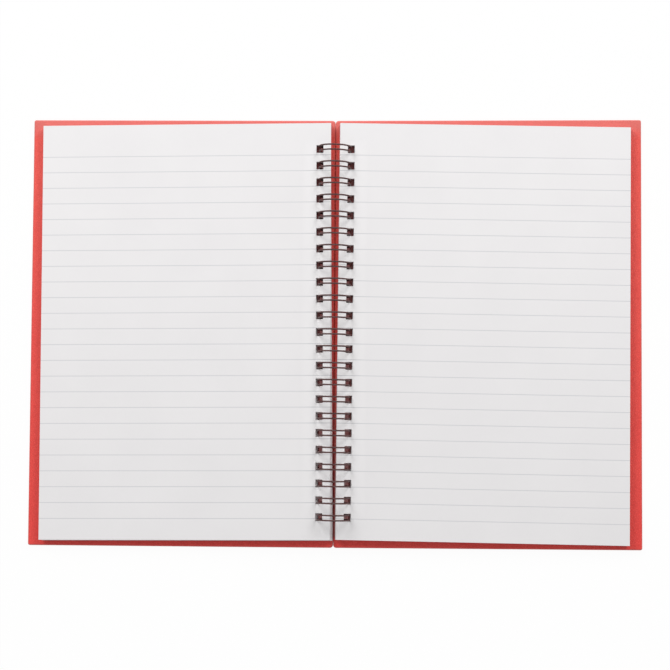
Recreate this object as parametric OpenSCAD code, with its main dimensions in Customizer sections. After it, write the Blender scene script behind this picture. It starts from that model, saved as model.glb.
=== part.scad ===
// Wire-bound notebook, lying open at its middle on a flat surface.
// X runs across the spread, Y from tail to head, Z up. The origin is on the surface, under the rings.
// One twin-loop wire goes through square holes in the leaves and in both covers, and everything
// turns about the axis of its rings. Each half is drawn from that axis outwards, with the writing
// face at the axis's own height, and is then let down until the cover's fore-edge rests.

/* [Leaves] */
// Width of a leaf, from its punched edge to its fore-edge
page_w = 147.5; // [110:0.5:180]
// Height of a leaf, from tail to head
page_h = 211; // [150:0.5:250]
// Thickness of the leaves that lie on each side
block_t = 3.6; // [1.5:0.1:5]
// Distance of the holes' centres from the punched edge
hole_inset = 5.85; // [4.5:0.05:6.5]
// How far inside the rings' centreline the holes' centres lie
hole_setback = 0.3; // [0.2:0.05:0.5]
// How much nearer the gutter the lowest leaf lies than the top one
leaf_drift = 0.6; // [0:0.05:0.7]
// How far the leaves' middle lies towards the head from the middle of their holes
head_trim = 1; // [-1.5:0.05:1.5]

/* [Covers] */
// Thickness of a cover board with its wrap
cover_t = 2.5; // [1.6:0.1:3]
// How far a cover stands out past the leaves at the fore-edge
fore_overhang = 6.05; // [2:0.05:10]
// How far a cover stands out past the leaves at head and tail
end_overhang = 3.45; // [2:0.05:8]
// Half the slit between the two covers
cover_slit = 0.2; // [0.15:0.05:1.5]
// Radius of the wrapped edges
wrap_r = 0.8; // [0.3:0.05:0.8]
// Radius of the corners at the fore-edge, seen from above
fore_corner_r = 1; // [0.9:0.1:6]
// Radius of the corners beside the rings, seen from above
spine_corner_r = 1.5; // [0.9:0.1:2.5]

/* [Wire] */
// Diameter of the wire
wire_d = 0.9; // [0.6:0.05:1.1]
// Distance from one loop to the next, three to the inch
pitch = 8.4667; // [8:0.0001:9.5]
// Distance between the two legs of a loop
leg_gap = 2.5; // [2:0.1:3]
// Least length of leaf past the first and last loop's centre
end_margin = 12; // [6:0.5:14]
// Room from the covers' outer faces to the rings' centreline
ring_room = 1.45; // [1.3:0.05:2.5]
// Radius of the bends where a leg turns into the link to its neighbour
bend_r = 1; // [0.8:0.05:1.2]
// How far the loops' tips stop short of the links
seam_gap = 0.35; // [0.3:0.05:1]
// Length of the cut end past the last bend
cut_end = 0.6; // [0.2:0.1:1.2]
// How much the wire thins in a tight bend, on its radius
bend_thinning = 0.01; // [0.005:0.005:0.03]

/* [Fits] */
// Clearance on each side of the wire in its holes
hole_play = 0.3; // [0.25:0.05:0.4]
// Gap between the two writing faces when the notebook is shut
face_gap = 0.3; // [0.1:0.05:0.6]
// Gap between the leaves and the cover under them
bed_gap = 0.3; // [0.1:0.05:0.6]

/* [Lie of the leaves] */
// Turn of the left leaves, tail towards the gutter, in degrees
left_skew = 0.2; // [0:0.01:0.3]
// Turn of the right leaves, tail towards the gutter, in degrees
right_skew = 0.4; // [0:0.01:0.42]
// How much nearer the gutter the right leaves lie than the left ones
right_shift = 0; // [0:0.05:0.35]
// How far all the holes and the wire lie towards the head from the middle of the covers
punch_shift = -0.3; // [-1:0.05:1]

/* [Hidden] */

// Heights below the axis of the rings
face_z = -face_gap / 2;
block_bottom = face_z - block_t;
cover_top = block_bottom - bed_gap;
cover_bottom = cover_top - cover_t;

ring_r = ring_room - cover_bottom;
wire_r = wire_d / 2;
tip_r = leg_gap / 2;
loops = floor((page_h - 2 * end_margin) / pitch) + 1;

hole_size = leg_gap + wire_d + 2 * hole_play;
page_hole_x = ring_r - hole_setback;
page_inner = page_hole_x - hole_inset;

// The wire slants through a cover, from its outer circle at the top to its inner one at the bottom
cover_hole_out = sqrt(pow(ring_r + wire_r, 2) - pow(cover_top, 2)) + hole_play / 2;
cover_hole_in = sqrt(pow(ring_r - wire_r, 2) - pow(cover_bottom, 2)) - hole_play / 2;
cover_reach = page_inner + page_w + fore_overhang;
cover_h = page_h + 2 * end_overhang;

// The tips are the lowest points of the rings; the fore-edges come down to the same height
axis_h = norm([ring_r, tip_r]) + wire_r;
edge_x = cover_reach - wrap_r;
edge_z = -cover_bottom - wrap_r;
rest_tilt = asin((axis_h - wrap_r) / norm([edge_x, edge_z])) - atan2(edge_z, edge_x);

// Ring angles are counted from +X, upwards; the tips end straight under the axis
tip_phi = -90 + atan2(tip_r, ring_r);
link_phi = 270 - seam_gap / ring_r * 180 / PI;
base_phi = link_phi - atan2(bend_r, ring_r);

cut = 1; // reach of a cutting tool past the face that it cuts
bend_lap = 0.08; // how far a tight bend reaches into the wire on either side of it
cover_colour = [0.78, 0.27, 0.25];
paper_colour = [0.93, 0.92, 0.92];
wire_colour = [0.3, 0.24, 0.24];

function loop_y(k) = (k - (loops - 1) / 2) * pitch;

module right_half() {
    translate([0, 0, axis_h]) rotate([0, rest_tilt, 0]) children();
}

module left_half() {
    mirror([1, 0, 0]) right_half() children();
}

// A plate that follows an outline in X and Z, stretched along Y
module across(depth) {
    translate([0, depth / 2, 0]) rotate([90, 0, 0]) linear_extrude(depth) children();
}

module rounded_bar(width, height, r) {
    translate([r, 0]) square([width - 2 * r, height]);
    translate([0, r]) square([width, height - 2 * r]);
    for (x = [r, width - r], y = [r, height - r]) translate([x, y]) circle(r, $fn = 32);
}

module cover_plan() {
    width = cover_reach - cover_slit;
    translate([cover_slit, -cover_h / 2]) {
        translate([spine_corner_r, 0]) square([width - spine_corner_r - fore_corner_r, cover_h]);
        translate([0, spine_corner_r]) square([spine_corner_r, cover_h - 2 * spine_corner_r]);
        translate([width - fore_corner_r, fore_corner_r])
            square([fore_corner_r, cover_h - 2 * fore_corner_r]);
        for (top = [0, 1]) translate([0, top * cover_h]) mirror([0, top, 0]) {
            translate([spine_corner_r, spine_corner_r]) circle(spine_corner_r, $fn = 48);
            translate([width - fore_corner_r, fore_corner_r]) circle(fore_corner_r, $fn = 48);
        }
    }
}

// A board wrapped all round: rounded along all four edges, with a row of square holes for the wire
module cover() {
    width = cover_reach - cover_slit;
    difference() {
        intersection() {
            translate([0, 0, cover_bottom]) linear_extrude(cover_t) cover_plan();
            translate([cover_slit, 0, cover_bottom])
                across(cover_h) rounded_bar(width, cover_t, wrap_r);
            translate([cover_slit, -cover_h / 2, cover_bottom])
                rotate([90, 0, 90]) linear_extrude(width) rounded_bar(cover_h, cover_t, wrap_r);
        }
        for (k = [0 : loops - 1])
            translate([cover_hole_in, punch_shift + loop_y(k) - hole_size / 2, cover_bottom - cut])
                cube([cover_hole_out - cover_hole_in, hole_size, cover_t + 2 * cut]);
    }
}

// Section of what leans as the leaves do, from x_in to x_out at the writing face
module leaning(x_in, x_out, past) {
    drift = past * leaf_drift / block_t;
    polygon([
        [x_in + drift, face_z + past],
        [x_out + drift, face_z + past],
        [x_out - leaf_drift - drift, block_bottom - past],
        [x_in - leaf_drift - drift, block_bottom - past],
    ]);
}

// The leaves hang on the rings, so the lower ones lie nearer the gutter
module page_block(skew, shift) {
    translate([-shift, punch_shift, 0]) rotate([0, 0, -skew]) difference() {
        translate([0, head_trim, 0])
            across(page_h) leaning(page_inner, page_inner + page_w, 0);
        for (k = [0 : loops - 1]) translate([0, loop_y(k), 0])
            across(hole_size)
                leaning(page_hole_x - hole_size / 2, page_hole_x + hole_size / 2, cut);
    }
}

// Places a piece on the rings' centreline; its Z then runs along the ring
module on_ring(phi) {
    rotate([0, -phi, 0]) translate([ring_r, 0, 0]) children();
}

// A piece of wire bent to an arc about Z, from one angle to another
module bent(radius, from, to, r) {
    rotate([0, 0, from]) rotate_extrude(angle = to - from, $fn = 96)
        translate([radius, 0]) circle(r, $fn = 48);
}

module leg() {
    rotate([90, 0, 0]) bent(ring_r, tip_phi, base_phi, wire_r);
}

// A tight bend starts and ends just inside the pieces that it joins, which takes this much more angle
function lap_angle(radius) = bend_lap / radius * 180 / PI;

module tight_bend(radius, angle) {
    bent(radius, -lap_angle(radius), angle + lap_angle(radius), wire_r - bend_thinning);
}

module tip() {
    on_ring(tip_phi) rotate([-90, 0, 90]) tight_bend(tip_r, 180);
}

module bend_to_link() {
    on_ring(base_phi) translate([0, leg_gap / 2 + bend_r, 0]) rotate([90, 0, -90])
        tight_bend(bend_r, 90);
}

module straight_link(y, length) {
    on_ring(base_phi) translate([0, y, bend_r]) rotate([-90, 0, 0])
        cylinder(h = length, r = wire_r, $fn = 48);
}

// One length of wire: up a leg, round the tip, down the next leg and along to the next loop
module binding_wire() {
    half_loop = leg_gap / 2 + bend_r;
    color(wire_colour) translate([0, punch_shift, axis_h]) {
        for (k = [0 : loops - 1]) translate([0, loop_y(k), 0]) {
            tip();
            for (side = [0, 1]) mirror([0, side, 0]) {
                translate([0, leg_gap / 2, 0]) leg();
                bend_to_link();
            }
        }
        for (k = [0 : loops - 2]) straight_link(loop_y(k) + half_loop, pitch - 2 * half_loop);
        straight_link(loop_y(0) - half_loop - cut_end, cut_end);
        straight_link(loop_y(loops - 1) + half_loop, cut_end);
    }
}

module front_cover() {
    color(cover_colour) left_half() cover();
}

module back_cover() {
    color(cover_colour) right_half() cover();
}

module left_pages() {
    color(paper_colour) left_half() page_block(left_skew, 0);
}

module right_pages() {
    color(paper_colour) right_half() page_block(right_skew, right_shift);
}

front_cover();
left_pages();
right_pages();
back_cover();
binding_wire();
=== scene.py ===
# An open notebook: ruled leaves between red leatherette boards, on a dark twin-loop wire.
# Lengths are in metres. X runs across the spread, Y from tail to head, Z up from the table.
import math
import random

import bmesh
import bpy
from mathutils import Matrix, Vector


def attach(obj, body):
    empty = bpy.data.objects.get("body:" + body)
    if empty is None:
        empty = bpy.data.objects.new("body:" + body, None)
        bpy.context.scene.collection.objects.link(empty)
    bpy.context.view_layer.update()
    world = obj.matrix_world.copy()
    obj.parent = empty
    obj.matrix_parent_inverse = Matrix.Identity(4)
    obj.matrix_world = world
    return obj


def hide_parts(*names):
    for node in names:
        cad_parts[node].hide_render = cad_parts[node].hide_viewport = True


mm = 0.001
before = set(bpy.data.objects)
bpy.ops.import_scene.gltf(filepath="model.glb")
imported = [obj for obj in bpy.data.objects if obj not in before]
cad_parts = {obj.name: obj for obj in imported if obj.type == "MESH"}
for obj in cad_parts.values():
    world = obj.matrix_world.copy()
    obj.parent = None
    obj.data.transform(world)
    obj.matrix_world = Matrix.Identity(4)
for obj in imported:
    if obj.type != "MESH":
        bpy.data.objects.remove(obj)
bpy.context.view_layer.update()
scene = bpy.context.scene
print("frame loaded:", ", ".join(sorted(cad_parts)))

# The camera hangs over the spread, a little to the right of the rings and towards the tail
camera = {
    "eye": (33.83 * mm, -50.35 * mm, 900 * mm),
    "turnDegrees": (-3.1341, -2.1211, -0.3621),
    "focalLength": 95.111,
    "sensorWidth": 36.0,
}


def makeCamera():
    lens = bpy.data.cameras.new("camera")
    lens.lens = camera["focalLength"]
    lens.sensor_width = camera["sensorWidth"]
    lens.clip_start = 0.01
    eye = bpy.data.objects.new("camera", lens)
    scene.collection.objects.link(eye)
    look = Matrix.Identity(4)
    for degrees, axis in zip(camera["turnDegrees"], "XYZ"):
        look = look @ Matrix.Rotation(math.radians(degrees), 4, axis)
    eye.matrix_world = Matrix.Translation(camera["eye"]) @ look.transposed()
    scene.camera = eye


makeCamera()
print("camera placed")

# How the notebook lies: each half slopes down from the rings' axis to its fore-edge
lie = {
    "axisHeight": 8.547067 * mm,
    "slopeDegrees": 0.740325,
    "punchShift": -0.3 * mm,  # how far holes and wire lie towards the head from the boards' middle
    "ringRadius": 7.98 * mm,
    "pitch": 25.4 / 3 * mm,
    "loops": 23,
}


def loopY(index):
    return (index - (lie["loops"] - 1) / 2) * lie["pitch"]


# From a half's own directions (out from the rings, along them, up from their axis) to the table's
def onHalf(side, out, along, up):
    slope = math.radians(lie["slopeDegrees"])
    x = out * math.cos(slope) + up * math.sin(slope)
    z = lie["axisHeight"] - out * math.sin(slope) + up * math.cos(slope)
    return Vector((side * x, along, z))


def evenly(start, end, steps):
    return [start + (end - start) * i / steps for i in range(steps + 1)]


def blendTo(start, end, share):
    return start + (end - start) * share


def addPiece(name, mesh, smooth):
    mesh.polygons.foreach_set("use_smooth", [smooth] * len(mesh.polygons))
    mesh.update()
    piece = bpy.data.objects.new(name, mesh)
    scene.collection.objects.link(piece)
    return piece


def newPiece(name, points, faces, smooth=False):
    mesh = bpy.data.meshes.new(name)
    mesh.from_pydata(points, [], faces)
    return addPiece(name, mesh, smooth)


# Where a punched plate's grid is cut along the rings: its tail, both sides of each hole, its head
def holeRows(tail, head, shift, height):
    rows = [tail]
    for k in range(lie["loops"]):
        middle = loopY(k) + shift
        rows += [middle - height / 2, middle + height / 2]
    return rows + [head]


# The faces of a plate on a grid, with a hole in its second column at every other row
def punchedPlate(side, columns, rows, corner, addFace):
    def add(*corners):
        addFace(corners if side > 0 else corners[::-1])

    cells = set()
    for i in range(len(columns) - 1):
        for j in range(len(rows) - 1):
            if not (i == 1 and j % 2 == 1):
                cells.add((i, j))
    for i, j in sorted(cells):
        ring = [(i, j), (i + 1, j), (i + 1, j + 1), (i, j + 1)]
        add(*[corner(a, b, 1) for a, b in ring])
        add(*[corner(a, b, 0) for a, b in reversed(ring)])
        beside = [(i, j - 1), (i + 1, j), (i, j + 1), (i - 1, j)]
        for n, neighbour in enumerate(beside):
            if neighbour not in cells:
                a, b = ring[n], ring[(n + 1) % 4]
                add(corner(*a, 0), corner(*b, 0), corner(*b, 1), corner(*a, 1))


# Node helpers, used by every material
def addNode(tree, kind, inputs=None, **settings):
    node = tree.nodes.new(kind)
    for key, value in settings.items():
        setattr(node, key, value)
    for key, value in (inputs or {}).items():
        if isinstance(value, bpy.types.NodeSocket):
            tree.links.new(value, node.inputs[key])
        else:
            node.inputs[key].default_value = value
    return node


def calc(tree, operation, first, second=0.0, clamp=False):
    inputs = {0: first, 1: second}
    return addNode(tree, "ShaderNodeMath", inputs, operation=operation, use_clamp=clamp).outputs[0]


def remap(tree, value, fromLow, fromHigh, toLow, toHigh):
    inputs = {0: value, 1: fromLow, 2: fromHigh, 3: toLow, 4: toHigh}
    return addNode(tree, "ShaderNodeMapRange", inputs).outputs[0]


# All the masks multiplied with each other
def allOf(tree, first, *others):
    for other in others:
        first = calc(tree, "MULTIPLY", first, other)
    return first


def distanceFrom(tree, value, middle):
    return calc(tree, "ABSOLUTE", calc(tree, "SUBTRACT", value, middle))


def axesOf(tree, vector):
    return addNode(tree, "ShaderNodeSeparateXYZ", {0: vector}).outputs


# Where the surface lies when the notebook lies open, so that patterns turn with their piece
def placeOf(tree):
    return tree.nodes.new("ShaderNodeTexCoord").outputs["Object"]


# How far the surface faces up then, from -1 to 1
def facingUp(tree):
    normal = tree.nodes.new("ShaderNodeTexCoord").outputs["Normal"]
    return axesOf(tree, normal)["Z"]


def fineNoise(tree, place, size):
    inputs = {"Vector": place, "Scale": 1 / size, "Detail": 3.0}
    return addNode(tree, "ShaderNodeTexNoise", inputs).outputs[0]


def addBump(tree, shader, height, depth, strength=1.0):
    inputs = {"Height": height, "Distance": depth, "Strength": strength}
    bump = addNode(tree, "ShaderNodeBump", inputs)
    tree.links.new(bump.outputs[0], shader.inputs["Normal"])


def mixColor(tree, share, first, second, how="MIX"):
    inputs = {0: share, 6: first, 7: second}
    node = addNode(tree, "ShaderNodeMix", inputs, data_type="RGBA", blend_type=how)
    return node.outputs[2]


def newGroup(name, inputs, outputs):
    tree = bpy.data.node_groups.new(name, "ShaderNodeTree")
    for label, kind, start in inputs:
        socket = tree.interface.new_socket(name=label, in_out="INPUT", socket_type=kind)
        if start is not None:
            socket.default_value = start
    for label, kind in outputs:
        tree.interface.new_socket(name=label, in_out="OUTPUT", socket_type=kind)
    return tree, tree.nodes.new("NodeGroupInput"), tree.nodes.new("NodeGroupOutput")


def placeGroup(tree, group, inputs):
    return addNode(tree, "ShaderNodeGroup", inputs, node_tree=group)


def newMaterial(name, specular):
    material = bpy.data.materials.new(name)
    material.use_nodes = True
    tree = material.node_tree
    shader = tree.nodes["Principled BSDF"]
    shader.inputs["Specular IOR Level"].default_value = specular
    return material, tree, shader


# Soft cloudy variation between two sizes, as paper, wrap and coating all have
def buildSoftMottle():
    inputs = [
        ("Vector", "NodeSocketVector", None),
        ("Cloud Size", "NodeSocketFloat", 0.03),
        ("Grain Size", "NodeSocketFloat", 0.0005),
        ("Grain Share", "NodeSocketFloat", 0.3),
    ]
    tree, start, end = newGroup("softMottle", inputs, [("Value", "NodeSocketFloat")])
    cloudScale = calc(tree, "DIVIDE", 1.0, start.outputs["Cloud Size"])
    grainScale = calc(tree, "DIVIDE", 1.0, start.outputs["Grain Size"])
    vector = start.outputs["Vector"]
    cloud = addNode(tree, "ShaderNodeTexNoise", {"Vector": vector, "Scale": cloudScale, "Detail": 3.0})
    grain = addNode(tree, "ShaderNodeTexNoise", {"Vector": vector, "Scale": grainScale, "Detail": 2.0})
    share = start.outputs["Grain Share"]
    grainPart = calc(tree, "MULTIPLY", grain.outputs[0], share)
    cloudPart = calc(tree, "MULTIPLY", cloud.outputs[0], calc(tree, "SUBTRACT", 1.0, share))
    tree.links.new(calc(tree, "ADD", grainPart, cloudPart), end.inputs["Value"])
    return tree


softMottle = buildSoftMottle()


def mottleOf(tree, place, settings):
    inputs = {
        "Vector": place,
        "Cloud Size": settings["cloudSize"],
        "Grain Size": settings["grainSize"],
        "Grain Share": settings["grainShare"],
    }
    return placeGroup(tree, softMottle, inputs).outputs["Value"]


# Lines printed across a leaf at even spacing, from the head down, for a leaf turned a little
def buildRuledLines():
    inputs = [
        ("Vector", "NodeSocketVector", None),
        ("Turn", "NodeSocketFloat", 0.0),
        ("Head Edge", "NodeSocketFloat", 0.105),
        ("First Line", "NodeSocketFloat", 0.016),
        ("Spacing", "NodeSocketFloat", 0.008),
        ("Lines", "NodeSocketFloat", 24.0),
        ("Width", "NodeSocketFloat", 0.00025),
    ]
    tree, start, end = newGroup("ruledLines", inputs, [("Mask", "NodeSocketFloat")])
    parts = axesOf(tree, start.outputs["Vector"])
    slide = calc(tree, "MULTIPLY", parts["X"], start.outputs["Turn"])
    along = calc(tree, "ADD", parts["Y"], slide)
    down = calc(tree, "SUBTRACT", start.outputs["Head Edge"], along)
    fromFirst = calc(tree, "SUBTRACT", down, start.outputs["First Line"])
    count = calc(tree, "DIVIDE", fromFirst, start.outputs["Spacing"])
    nearest = calc(tree, "ROUND", count)
    away = distanceFrom(tree, count, nearest)
    distance = calc(tree, "MULTIPLY", away, start.outputs["Spacing"])
    halfWidth = calc(tree, "MULTIPLY", start.outputs["Width"], 0.5)
    fade = calc(tree, "DIVIDE", calc(tree, "SUBTRACT", distance, halfWidth), halfWidth)
    onLine = calc(tree, "SUBTRACT", 1.0, fade, clamp=True)
    afterFirst = calc(tree, "GREATER_THAN", nearest, -0.5)
    lastLine = calc(tree, "SUBTRACT", start.outputs["Lines"], 0.5)
    beforeLast = calc(tree, "LESS_THAN", nearest, lastLine)
    inRange = calc(tree, "MULTIPLY", afterFirst, beforeLast)
    tree.links.new(calc(tree, "MULTIPLY", onLine, inRange), end.inputs["Mask"])
    return tree


ruledLines = buildRuledLines()

# The leaves: as many a side as the stack holds, each a plate of its own
leaves = {
    "count": 36,
    "height": 211 * mm,
    "stack": 3.6 * mm,
    "topBelowAxis": 0.15 * mm,
    "headTrim": 1.0 * mm,  # how far the leaves' middle lies towards the head from their holes'
    "holeSize": (3.6 * mm, 3.92 * mm),  # out from the rings, and along them
    "strips": 8,  # faces from the holes to the fore-edge
    "paperShare": 0.93,  # of the stack's thickness, the rest is air
    "untidiness": 0.05 * mm,
    "seed": 7,
    "left_pages": {
        "side": -1,
        "edges": (1.85 * mm, 149.35 * mm),  # punched edge and fore-edge, out from the rings' axis
        "holes": (7.45 * mm, 0.07 * mm),  # their middle, out from the axis and along it
        "turn": 0.17,  # degrees, tail towards the gutter
        "lean": 0.45,  # degrees that the lowest leaf leans past the top one
        "drift": 0.5 * mm,  # how much nearer the gutter the lowest leaf lies
        "slant": 0.27,  # degrees that head and tail are out of square
        "shorter": 0.0,  # at the tail
    },
    "right_pages": {
        "side": 1,
        "edges": (2.1 * mm, 149.05 * mm),
        "holes": (7.75 * mm, -0.02 * mm),
        "turn": 0.3,
        "lean": 0.06,
        "drift": 0.4 * mm,
        "slant": 0.45,
        "shorter": 0.2 * mm,
    },
    # The lower left leaves, from this share of the stack's depth on, show at the tail
    "lowGroup": {"from": 0.45, "toTail": 0.35 * mm, "narrower": 0.6 * mm},
}


# How far a leaf lies out of line, out and along; how much narrower it is; how far it goes to the tail
def leafOffsets(node, depth, draw):
    out = draw.uniform(-1, 1) * leaves["untidiness"]
    along = draw.uniform(-1, 1) * leaves["untidiness"]
    if node == "left_pages" and depth > leaves["lowGroup"]["from"]:
        low = leaves["lowGroup"]
        return out, along, low["narrower"], low["toTail"]
    return out, along, 0.0, 0.0


# One leaf is a thin plate with a square hole at each loop
def addLeaf(node, number, draw, points, faces):
    lay = leaves[node]
    side = lay["side"]
    depth = (number + 0.5) / leaves["count"]
    turn = math.radians(lay["turn"])
    lean = math.radians(lay["turn"] + depth * lay["lean"])
    slant = math.radians(lay["slant"])
    out, along, narrower, toTail = leafOffsets(node, depth, draw)
    if number == 0:
        out = along = 0.0
    step = leaves["stack"] / leaves["count"]
    topHeight = -leaves["topBelowAxis"] - number * step
    heights = (topHeight - step * leaves["paperShare"], topHeight)
    inner, outer = lay["edges"]
    outer -= narrower
    holeWide, holeHigh = leaves["holeSize"]
    holeMiddle, holeAlong = lay["holes"]
    holeOut = holeMiddle + holeWide / 2
    columns = [inner, holeMiddle - holeWide / 2] + evenly(holeOut, outer, leaves["strips"])
    tail = leaves["headTrim"] - leaves["height"] / 2 + lay["shorter"]
    head = leaves["headTrim"] + leaves["height"] / 2
    rows = holeRows(tail, head, holeAlong, holeHigh)
    corners = {}

    def corner(i, j, top):
        if (i, j, top) not in corners:
            u = columns[i] - depth * lay["drift"] + out
            v = rows[j] + along
            if j in (0, len(rows) - 1):
                v -= slant * (columns[i] - inner) + toTail
            outTurned = u * math.cos(turn) + v * math.sin(lean)
            alongTurned = -u * math.sin(turn) + v * math.cos(turn) + lie["punchShift"]
            corners[(i, j, top)] = len(points)
            points.append(onHalf(side, outTurned, alongTurned, heights[top]))
        return corners[(i, j, top)]

    punchedPlate(side, columns, rows, corner, faces.append)


def makeLeaves(node, pieceName):
    draw = random.Random(leaves["seed"] + leaves[node]["side"])
    points, faces = [], []
    for number in range(leaves["count"]):
        addLeaf(node, number, draw, points, faces)
    piece = newPiece(pieceName, points, faces)
    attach(piece, node)
    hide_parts(node)
    return piece


leftLeaves = makeLeaves("left_pages", "left_leaves")
rightLeaves = makeLeaves("right_pages", "right_leaves")
print("leaves stacked:", 2 * leaves["count"])

# Uncoated white paper with pale lines
paper = {
    "white": (0.86, 0.845, 0.85, 1),
    "cloudier": (0.83, 0.815, 0.822, 1),
    "clouds": (0.3, 0.7),  # values of the noise that are all white, and all cloudier
    "cloudSize": 25 * mm,
    "grainSize": 0.35 * mm,
    "grainShare": 0.35,
    "line": (0.66, 0.66, 0.68, 1),
    "lines": 24.0,
    "firstLine": 16.25 * mm,
    "lineSpacing": 8 * mm,
    "lineWidth": 0.24 * mm,
    # Painted light: near the rings the paper is painted whiter, against the shade of the wire loops
    "paintedLight": (0.955, 0.942, 0.947, 1),
    "paintedLightTo": (7.2 * mm, 16.8 * mm),  # from the rings' axis, where the painted light is full and where it has faded out
    "paintedLightEnds": (88 * mm, 98 * mm),  # from the leaves' middle, where that fades out
    # Painted shade on the leaves' edges by the rings
    "punched": (0.64, 0.54, 0.54, 1),
    "punchedTo": (14 * mm, 104 * mm),  # off the rings' axis, and off the leaves' middle
    "roughness": 0.82,
    "specular": 0.3,
    "relief": 0.004 * mm,
}
steepBelow = 0.5  # a surface that faces up or down by less than this is an edge


def makePaper(name, node):
    lay = leaves[node]
    material, tree, shader = newMaterial(name, paper["specular"])
    place = placeOf(tree)
    inputs = {
        "Vector": place,
        "Turn": math.radians(lay["turn"] + lay["slant"]) * lay["side"],
        "Head Edge": leaves["headTrim"] + leaves["height"] / 2 + lie["punchShift"],
        "First Line": paper["firstLine"],
        "Spacing": paper["lineSpacing"],
        "Lines": paper["lines"],
        "Width": paper["lineWidth"],
    }
    lines = placeGroup(tree, ruledLines, inputs).outputs["Mask"]
    mottle = mottleOf(tree, place, paper)
    clouds = remap(tree, mottle, *paper["clouds"], 0.0, 1.0)
    sheet = mixColor(tree, clouds, paper["white"], paper["cloudier"])
    parts = axesOf(tree, place)
    fromRings = calc(tree, "ABSOLUTE", parts["X"])
    fromMiddle = calc(tree, "ABSOLUTE", parts["Y"])
    # Painted light near the rings, against the loops' shade
    byRings = remap(tree, fromRings, *paper["paintedLightTo"], 1.0, 0.0)
    insideEnds = remap(tree, fromMiddle, *paper["paintedLightEnds"], 1.0, 0.0)
    sheet = mixColor(tree, allOf(tree, byRings, insideEnds), sheet, paper["paintedLight"])

    # Painted shade: the leaves' edges beside the rings, in the holes and the gutter, are painted
    # darker and pinkish grey
    onEdge = calc(tree, "LESS_THAN", calc(tree, "ABSOLUTE", facingUp(tree)), steepBelow)
    byRings = calc(tree, "LESS_THAN", fromRings, paper["punchedTo"][0])
    insideEnds = calc(tree, "LESS_THAN", fromMiddle, paper["punchedTo"][1])
    sheet = mixColor(tree, allOf(tree, onEdge, byRings, insideEnds), sheet, paper["punched"])
    tree.links.new(mixColor(tree, lines, sheet, paper["line"]), shader.inputs["Base Color"])
    shader.inputs["Roughness"].default_value = paper["roughness"]
    addBump(tree, shader, fineNoise(tree, place, paper["grainSize"]), paper["relief"])
    return material


leftLeaves.data.materials.append(makePaper("leftPaper", "left_pages"))
rightLeaves.data.materials.append(makePaper("rightPaper", "right_pages"))
print("paper ruled")

# The wire: up a leg, round the tip, down the next leg and along to the next loop
wire = {
    "radius": 0.405 * mm,
    "legGap": 2.5 * mm,
    "bendRadius": 1.0 * mm,
    "seamGap": 0.35 * mm,
    "cutEnd": 0.6 * mm,
    "cutRounding": 0.06 * mm,
    "sides": 12,
    "legStep": 5,  # degrees from one ring of points to the next, on the legs
    "tipStep": 20,  # and at the tips
    "bendStep": 15,  # and in the bends to the links
    "slantHead": 0.19 * mm,  # the legs run this much off square at the rings' sides
    "slantTail": 0.1 * mm,
    "unevenness": 0.015 * mm,
    "seed": 11,
}


def wirePath():
    draw = random.Random(wire["seed"])
    radius, bend = lie["ringRadius"], wire["bendRadius"]
    half = wire["legGap"] / 2
    tipAngle = math.atan2(half, radius) - math.pi / 2
    baseAngle = math.radians(270) - wire["seamGap"] / radius - math.atan2(bend, radius)
    path = []

    def add(index, lean, angle, along, rise=0.0):
        x = radius * math.cos(angle) - rise * math.sin(angle)
        z = radius * math.sin(angle) + rise * math.cos(angle)
        slant = blendTo(wire["slantTail"], wire["slantHead"], index / (lie["loops"] - 1))
        above = max(0.0, z / radius)
        y = loopY(index) + along - (slant + lean[0]) * x / radius + lean[1] * above
        path.append(Vector((x, y + lie["punchShift"], z + lie["axisHeight"])))

    def degreesOf(start, end, step):
        return evenly(start, end, max(1, round(abs(end - start) / math.radians(step))))

    last = lie["loops"] - 1
    quarter = degreesOf(0, math.pi / 2, wire["bendStep"])
    leg = degreesOf(baseAngle, tipAngle, wire["legStep"])
    tip = degreesOf(0, math.pi, wire["tipStep"])
    for k in range(lie["loops"]):
        lean = (draw.uniform(-1, 1) * wire["unevenness"], draw.uniform(-1, 1) * wire["unevenness"])
        if k == 0:
            add(k, lean, baseAngle, -half - bend - wire["cutEnd"], bend)
            add(k, lean, baseAngle, -half - bend - wire["cutEnd"] + wire["cutRounding"], bend)
        for t in reversed(quarter):
            add(k, lean, baseAngle, -half - bend + bend * math.cos(t), bend * math.sin(t))
        for angle in leg[1:]:
            add(k, lean, angle, -half)
        for t in tip[1:]:
            add(k, lean, tipAngle, -half * math.cos(t), -half * math.sin(t))
        for angle in reversed(leg[:-1]):
            add(k, lean, angle, half)
        for t in quarter[1:]:
            add(k, lean, baseAngle, half + bend - bend * math.cos(t), bend * math.sin(t))
        if k == last:
            add(k, lean, baseAngle, half + bend + wire["cutEnd"] - wire["cutRounding"], bend)
            add(k, lean, baseAngle, half + bend + wire["cutEnd"], bend)
    return path


def sweepWire(path):
    sides = wire["sides"]
    points, faces = [], []
    normal = Vector((1, 0, 0))
    last = len(path) - 1
    for n, centre in enumerate(path):
        ahead = (path[min(n + 1, last)] - path[max(n - 1, 0)]).normalized()
        normal = (normal - ahead * normal.dot(ahead)).normalized()
        across = ahead.cross(normal)
        size = wire["radius"] - (wire["cutRounding"] if n in (0, last) else 0.0)
        for s in range(sides):
            turn = 2 * math.pi * s / sides
            points.append(centre + (normal * math.cos(turn) + across * math.sin(turn)) * size)
        if n:
            for s in range(sides):
                t = (s + 1) % sides
                here, before = n * sides, (n - 1) * sides
                faces.append((before + s, before + t, here + t, here + s))
    faces.append(tuple(reversed(range(sides))))
    faces.append(tuple(range(last * sides, last * sides + sides)))
    return points, faces


def makeWire():
    piece = newPiece("twin_loop_wire", *sweepWire(wirePath()), smooth=True)
    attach(piece, "binding_wire")
    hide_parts("binding_wire")
    return piece


twinLoopWire = makeWire()
print("wire bent:", lie["loops"], "loops")

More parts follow.
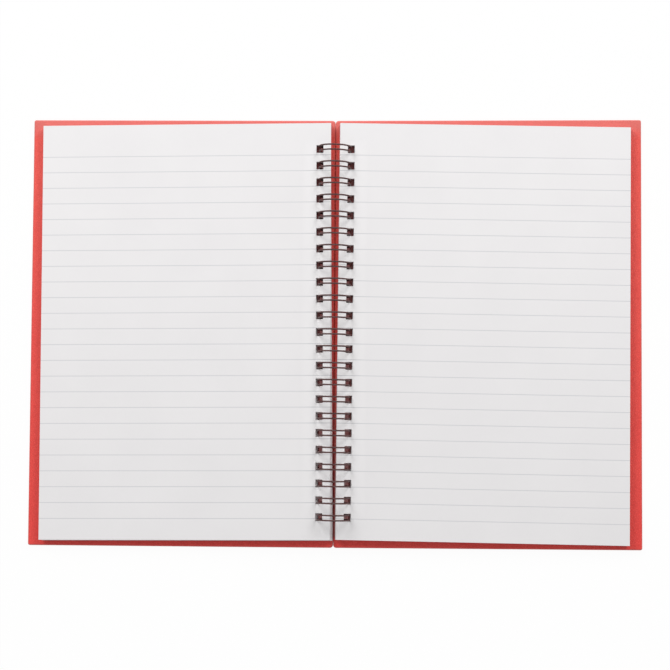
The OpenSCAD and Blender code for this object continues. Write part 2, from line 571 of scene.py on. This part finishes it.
# Dark satin coating, paler where the loops have rubbed
coating = {
    "dark": (0.085, 0.038, 0.036, 1),
    "rubbed": (0.14, 0.075, 0.071, 1),
    "rubbedFrom": (0.48, 0.66),  # values of the noise where the rubbing starts, and is full
    "cloudSize": 3 * mm,
    "grainSize": 0.25 * mm,
    "grainShare": 0.4,
    "specular": 0.22,
    "satin": (0.3, 0.7),  # values of the noise at the lowest and the highest roughness
    "roughness": (0.32, 0.5),
    "relief": 0.008 * mm,
}


def makeCoating():
    material, tree, shader = newMaterial("wireCoating", coating["specular"])
    place = placeOf(tree)
    mottle = mottleOf(tree, place, coating)
    rubbed = remap(tree, mottle, *coating["rubbedFrom"], 0.0, 1.0)
    colour = mixColor(tree, rubbed, coating["dark"], coating["rubbed"])
    tree.links.new(colour, shader.inputs["Base Color"])
    roughness = remap(tree, mottle, *coating["satin"], *coating["roughness"])
    tree.links.new(roughness, shader.inputs["Roughness"])
    addBump(tree, shader, mottle, coating["relief"])
    return material


twinLoopWire.data.materials.append(makeCoating())
print("wire coated")

# The board under the wrap, and the shade painted on its inner face
board = {
    "thickness": 2.5 * mm,
    "topBelowAxis": 4.05 * mm,
    "edges": (0.13 * mm, 155.39 * mm),  # out from the rings' axis
    "ends": (-108.94 * mm, 108.8 * mm),
    "lowerAtSeam": 0.75 * mm,  # the head edge falls this much from fore-edge to seam
    "cornerAtSeam": 1.5 * mm,
    "cornerAtFore": 1.0 * mm,
    "cornerSteps": 6,
    "wrapRadius": 0.78 * mm,
    "wrapSteps": 5,
    "outlineBand": 2.5 * mm,  # the outline's edges lie within this of the seam, fore-edge and ends
    "holes": (3.605 * mm, 7.566 * mm),
    "holeHeight": 4.0 * mm,
    "rimRadius": 0.16 * mm,
    "rimSteps": 2,
    "plainFrom": 20 * mm,  # past the holes' surroundings, where the plate needs few faces
    "strips": 6,
    "pale": (0.42, 0.17, 0.16, 1),
    "dark": (0.30, 0.11, 0.105, 1),
    "fibre": 0.3 * mm,
    # Painted shade: the inner face under the leaves' holes is painted dull brown
    "holeShade": (0.50, 0.17, 0.165, 1),
    "holeShadeInside": (0.9 * mm, 0.3 * mm),  # from the holes' inner side, where it starts and is full
    "holeShadeOutside": (2.4 * mm, 3.4 * mm),  # from their outer side, where it is full and ends
    "holeShadeAlong": (0.24, 0.34),  # from a loop's middle, as shares of the pitch
    # Painted shade: the gutter strip is painted darker towards the tail
    "gutterShade": (0.45, 0.12, 0.11, 1),
    "gutterShadeInside": (1.2 * mm, 0.4 * mm),  # from the holes' inner side, where it is full and ends
    "gutterShadeGrows": (-5 * mm, -85 * mm),  # from none to full, towards the tail
    "gutterShadeEnd": 103 * mm,
}


# A board's plate with its holes, its corners by column, row and level, its last column and row
def boardPlate(side):
    inner, outer = board["edges"]
    columns = [inner, *board["holes"]] + evenly(board["plainFrom"], outer, board["strips"])
    tail, head = board["ends"]
    rows = holeRows(tail, head, lie["punchShift"], board["holeHeight"])
    lastColumn, lastRow = len(columns) - 1, len(rows) - 1
    plate = bmesh.new()
    corners = {}

    def corner(i, j, level):
        if (i, j, level) not in corners:
            y = rows[j]
            if j == lastRow:
                y -= board["lowerAtSeam"] * (outer - columns[i]) / (outer - inner)
            up = -board["topBelowAxis"] - (0.0 if level else board["thickness"])
            corners[(i, j, level)] = plate.verts.new(onHalf(side, columns[i], y, up))
        return corners[(i, j, level)]

    punchedPlate(side, columns, rows, corner, plate.faces.new)
    return plate, corners, lastColumn, lastRow


def roundEdges(plate, edges, size, segments):
    bmesh.ops.bevel(
        plate,
        geom=edges,
        offset=size,
        segments=segments,
        profile=0.5,
        affect="EDGES",
        clamp_overlap=False,
    )


# The edges between a plate's faces and its outer sides, without those of its holes
def outlineOf(plate):
    band = board["outlineBand"]
    outline = []
    for edge in plate.edges:
        steep = [abs(face.normal.z) < steepBelow for face in edge.link_faces]
        out = [abs(vert.co.x) for vert in edge.verts]
        along = [abs(vert.co.y) for vert in edge.verts]
        atSeam = max(out) < band
        atFore = min(out) > board["edges"][1] - band
        atEnds = min(along) > board["ends"][1] - band
        if sum(steep) == 1 and (atSeam or atFore or atEnds):
            outline.append(edge)
    return outline


# The rims of the holes are rounded, then the corners, then the wrapped edges
def roundBoard(plate, corners, lastColumn, lastRow):
    def between(first, second):
        return plate.edges.get((corners[first], corners[second]))

    rims = []
    for level in (0, 1):
        for j in range(1, lastRow, 2):
            rims += [between((i, j, level), (i, j + 1, level)) for i in (1, 2)]
            rims += [between((1, b, level), (2, b, level)) for b in (j, j + 1)]
    roundEdges(plate, rims, board["rimRadius"], board["rimSteps"])
    for i, size in ((0, board["cornerAtSeam"]), (lastColumn, board["cornerAtFore"])):
        upright = [between((i, j, 0), (i, j, 1)) for j in (0, lastRow)]
        roundEdges(plate, upright, size, board["cornerSteps"])
    roundEdges(plate, outlineOf(plate), board["wrapRadius"], board["wrapSteps"])


def makeBoard(node, side, pieceName):
    plate, corners, lastColumn, lastRow = boardPlate(side)
    roundBoard(plate, corners, lastColumn, lastRow)
    mesh = bpy.data.meshes.new(pieceName)
    plate.to_mesh(mesh)
    plate.free()
    piece = addPiece(pieceName, mesh, smooth=True)
    even = piece.modifiers.new("even", "WEIGHTED_NORMAL")
    even.weight = 100
    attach(piece, node)
    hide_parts(node)
    return piece


# Red leatherette: small cells with valleys between them
wrap = {
    "red": (0.90, 0.088, 0.073, 1),
    "deep": (0.83, 0.072, 0.062, 1),
    "clouds": (0.35, 0.65),  # values of the noise that are all deep, and all red
    "cloudSize": 18 * mm,
    "grainSize": 1.6 * mm,
    "grainShare": 0.5,
    "cell": 0.85 * mm,
    "valley": (0.68, 0.046, 0.041, 1),
    "valleyTo": 0.22,  # from the cells' borders, as a share of their size
    "valleyShare": 0.8,
    "paintedSheenTint": ((0.99, 0.84, 0.82, 1), (1.03, 1.26, 1.14, 1)),  # painted sheen: deeper at the tail, and paler at the head
    "paintedSheenEnds": (-105 * mm, 105 * mm),
    # Painted sheen on the up-facing wrap near the head
    "paintedSheen": (0.70, 0.155, 0.135, 1),
    "paintedSheenFrom": (99 * mm, 105.5 * mm),
    "paintedSheenShare": 0.8,
    "insideFrom": (0.1, 0.6),  # how far a surface faces up, outside and fully inside the notebook
    # Rubbed edges, partly painted sheen
    "rubbedAndSheen": (0.64, 0.18, 0.15, 1),
    "wornAt": 0.78,  # how far the rubbed part of a rounded edge faces up or down
    "wornWithin": 0.2,
    "patches": (0.38, 0.6),  # values of the noise with the least and the most wear
    "leastWear": 0.25,
    "relief": 0.07 * mm,
    "cloudRelief": 0.6,
    "bumpStrength": 0.8,
    "roughness": (0.42, 0.58),
    "polished": 0.42,
    "specular": 0.45,
    "wallBelow": 0.4,  # a surface that faces up or down by less is a hole's wall, not the face
    "wallReach": 0.2 * mm,
}


# Painted sheen: the wrap is painted paler towards the head, as the lamps behind the head gloss it, and
# most of all inside in the strip past the leaves
def sheenedWrap(tree, tone, along, up):
    towardsHead = remap(tree, along, *wrap["paintedSheenEnds"], 0.0, 1.0)
    tinted = mixColor(tree, 1.0, tone, mixColor(tree, towardsHead, *wrap["paintedSheenTint"]), "MULTIPLY")
    strip = remap(tree, along, *wrap["paintedSheenFrom"], 0.0, wrap["paintedSheenShare"])
    inside = remap(tree, up, *wrap["insideFrom"], 0.0, 1.0)
    return mixColor(tree, allOf(tree, strip, inside), tinted, wrap["paintedSheen"])


# How far off the nearest loop's middle, as a share of the pitch
def offLoop(tree, along):
    loops = calc(tree, "DIVIDE", along, lie["pitch"])
    return distanceFrom(tree, loops, calc(tree, "ROUND", loops))


# On the inner face, painted shade: beside the holes and in the gutter near the tail the wrap is
# painted dull and dark, where the holes and the gutter lie in shade
def shadedWrap(tree, tone, out, along, fromMiddle, up, byHoles):
    inner, outer = board["holes"]
    starts, full = board["holeShadeInside"]
    inwards = remap(tree, out, inner - starts, inner - full, 0.0, 1.0)
    full, ends = board["holeShadeOutside"]
    outwards = remap(tree, out, outer + full, outer + ends, 1.0, 0.0)
    byLoop = remap(tree, offLoop(tree, along), *board["holeShadeAlong"], 1.0, 0.0)
    onTop = calc(tree, "GREATER_THAN", up, wrap["wallBelow"])
    shadeMask = allOf(tree, byLoop, inwards, outwards, byHoles, onTop)
    tone = mixColor(tree, shadeMask, tone, board["holeShade"])
    # Painted shade in the gutter, darker towards the tail
    full, ends = board["gutterShadeInside"]
    bySeam = remap(tree, out, inner - full, inner - ends, 1.0, 0.0)
    growing = remap(tree, fromMiddle, *board["gutterShadeGrows"], 0.0, 1.0)
    underLeaves = calc(tree, "LESS_THAN", calc(tree, "ABSOLUTE", along), board["gutterShadeEnd"])
    shadeMask = allOf(tree, bySeam, growing, underLeaves, onTop)
    return mixColor(tree, shadeMask, tone, board["gutterShade"])


# The walls of the holes are the board's own fibre
def bareBoard(tree, place, out, level, byHoles):
    inner, outer = board["holes"]
    wall = calc(tree, "LESS_THAN", level, wrap["wallBelow"])
    pastInner = calc(tree, "GREATER_THAN", out, inner - wrap["wallReach"])
    beforeOuter = calc(tree, "LESS_THAN", out, outer + wrap["wallReach"])
    fibre = mixColor(tree, fineNoise(tree, place, board["fibre"]), board["dark"], board["pale"])
    return allOf(tree, pastInner, beforeOuter, wall, byHoles), fibre


def makeWrap():
    material, tree, shader = newMaterial("leatheretteWrap", wrap["specular"])
    place = placeOf(tree)
    inputs = {"Vector": place, "Scale": 1 / wrap["cell"]}
    cells = addNode(tree, "ShaderNodeTexVoronoi", inputs, feature="DISTANCE_TO_EDGE")
    pebble = remap(tree, cells.outputs[0], 0.0, wrap["valleyTo"], 0.0, 1.0)
    mottle = mottleOf(tree, place, wrap)
    tone = mixColor(tree, remap(tree, mottle, *wrap["clouds"], 0.0, 1.0), wrap["deep"], wrap["red"])
    valley = remap(tree, pebble, 0.0, 1.0, wrap["valleyShare"], 0.0)
    tone = mixColor(tree, valley, tone, wrap["valley"])
    parts = axesOf(tree, place)
    up = facingUp(tree)
    tone = sheenedWrap(tree, tone, parts["Y"], up)

    # The rounded edges are rubbed, in patches; their paler colour is partly painted sheen on the
    # rounding
    level = calc(tree, "ABSOLUTE", up)
    edge = remap(tree, distanceFrom(tree, level, wrap["wornAt"]), 0.0, wrap["wornWithin"], 1.0, 0.0)
    patchy = remap(tree, mottle, *wrap["patches"], wrap["leastWear"], 1.0)
    tone = mixColor(tree, allOf(tree, edge, patchy), tone, wrap["rubbedAndSheen"])

    out = calc(tree, "ABSOLUTE", parts["X"])
    along = calc(tree, "SUBTRACT", parts["Y"], lie["punchShift"])
    rowEnd = lie["loops"] * lie["pitch"] / 2
    byHoles = calc(tree, "LESS_THAN", calc(tree, "ABSOLUTE", along), rowEnd)
    tone = shadedWrap(tree, tone, out, along, parts["Y"], up, byHoles)
    cut, fibre = bareBoard(tree, place, out, level, byHoles)
    tree.links.new(mixColor(tree, cut, tone, fibre), shader.inputs["Base Color"])

    low, high = wrap["roughness"]
    grainRoughness = remap(tree, pebble, 0.0, 1.0, high, low)
    roughness = remap(tree, edge, 0.0, 1.0, grainRoughness, wrap["polished"])
    tree.links.new(roughness, shader.inputs["Roughness"])
    height = calc(tree, "ADD", pebble, calc(tree, "MULTIPLY", mottle, wrap["cloudRelief"]))
    addBump(tree, shader, height, wrap["relief"], wrap["bumpStrength"])
    return material


leatherette = makeWrap()
for side, node, name in ((-1, "front_cover", "front_board"), (1, "back_cover", "back_board")):
    makeBoard(node, side, name).data.materials.append(leatherette)
print("covers wrapped")

# A white table: it shows white to the camera, and still takes the notebook's soft shadow
table = {
    "size": 12.0,
    "colour": (0.93, 0.93, 0.93, 1),
    "roughness": 0.9,
    "shownWhite": 0.96,  # share of pure white in what the camera sees of it
    "redBounce": (0.074, 0.031, 0.030, 1),  # painted bounce light: the table glows this colour close under the boards
    "shadeReach": 15 * mm,
    "shadeFrom": (0.12, 0.3),  # open share of the sky over a point, in full shade and out of it
    "shadeSamples": 12,
}


def seenDirectly(tree):
    path = tree.nodes.new("ShaderNodeLightPath").outputs
    shown = calc(tree, "MAXIMUM", path["Is Camera Ray"], path["Is Glossy Ray"])
    return calc(tree, "MAXIMUM", shown, path["Is Transmission Ray"])


def makeTable():
    material, tree, shader = newMaterial("tableWhite", specular=0.0)
    shader.inputs["Base Color"].default_value = table["colour"]
    shader.inputs["Roughness"].default_value = table["roughness"]
    inputs = {"Distance": table["shadeReach"]}
    sky = addNode(tree, "ShaderNodeAmbientOcclusion", inputs, samples=table["shadeSamples"])
    inTheOpen = remap(tree, sky.outputs["AO"], *table["shadeFrom"], 0.0, 1.0)
    # Painted bounce light: under the boards the table glows dark red
    bounce = mixColor(tree, inTheOpen, table["redBounce"], (0, 0, 0, 1))
    tree.links.new(bounce, shader.inputs["Emission Color"])
    shader.inputs["Emission Strength"].default_value = 1.0
    glow = addNode(tree, "ShaderNodeEmission", {"Color": (1, 1, 1, 1), "Strength": 1.0})
    share = allOf(tree, seenDirectly(tree), inTheOpen, table["shownWhite"])
    inputs = {0: share, 1: shader.outputs[0], 2: glow.outputs[0]}
    mixed = addNode(tree, "ShaderNodeMixShader", inputs)
    tree.links.new(mixed.outputs[0], tree.nodes["Material Output"].inputs["Surface"])
    half = table["size"] / 2
    corners = [(-half, -half, 0), (half, -half, 0), (half, half, 0), (-half, half, 0)]
    piece = newPiece("table", corners, [(0, 1, 2, 3)])
    piece.data.materials.append(material)


makeTable()

# Soft studio light: two large lamps behind the head, left and right, and an even sky
light = {
    "lamps": {"left_lamp": (-38, 11.7), "right_lamp": (38, 9.8)},  # degrees off the head, power
    "distance": 1.5,
    "elevation": 38,  # degrees
    "lampSize": (0.65, 0.7),
    "sky": 0.4,
}


def makeLight():
    for name, (degrees, power) in light["lamps"].items():
        lamp = bpy.data.lights.new(name, "AREA")
        lamp.shape = "RECTANGLE"
        lamp.size, lamp.size_y = light["lampSize"]
        lamp.energy = power
        stand = bpy.data.objects.new(name, lamp)
        scene.collection.objects.link(stand)
        toSide, up = math.radians(degrees), math.radians(light["elevation"])
        flat = math.cos(up)
        towards = Vector((flat * math.sin(toSide), flat * math.cos(toSide), math.sin(up)))
        stand.location = towards * light["distance"]
        stand.rotation_euler = (-towards).to_track_quat("-Z", "Y").to_euler()

    world = bpy.data.worlds.new("sky")
    world.use_nodes = True
    scene.world = world
    tree = world.node_tree
    even = tree.nodes["Background"]
    even.inputs["Color"].default_value = (1, 1, 1, 1)
    even.inputs["Strength"].default_value = light["sky"]
    white = addNode(tree, "ShaderNodeBackground", {"Color": (1, 1, 1, 1), "Strength": 1.0})
    inputs = {0: seenDirectly(tree), 1: even.outputs[0], 2: white.outputs[0]}
    mixed = addNode(tree, "ShaderNodeMixShader", inputs)
    tree.links.new(mixed.outputs[0], tree.nodes["World Output"].inputs["Surface"])


makeLight()
scene.view_settings.view_transform = "Standard"
print("table and light set")
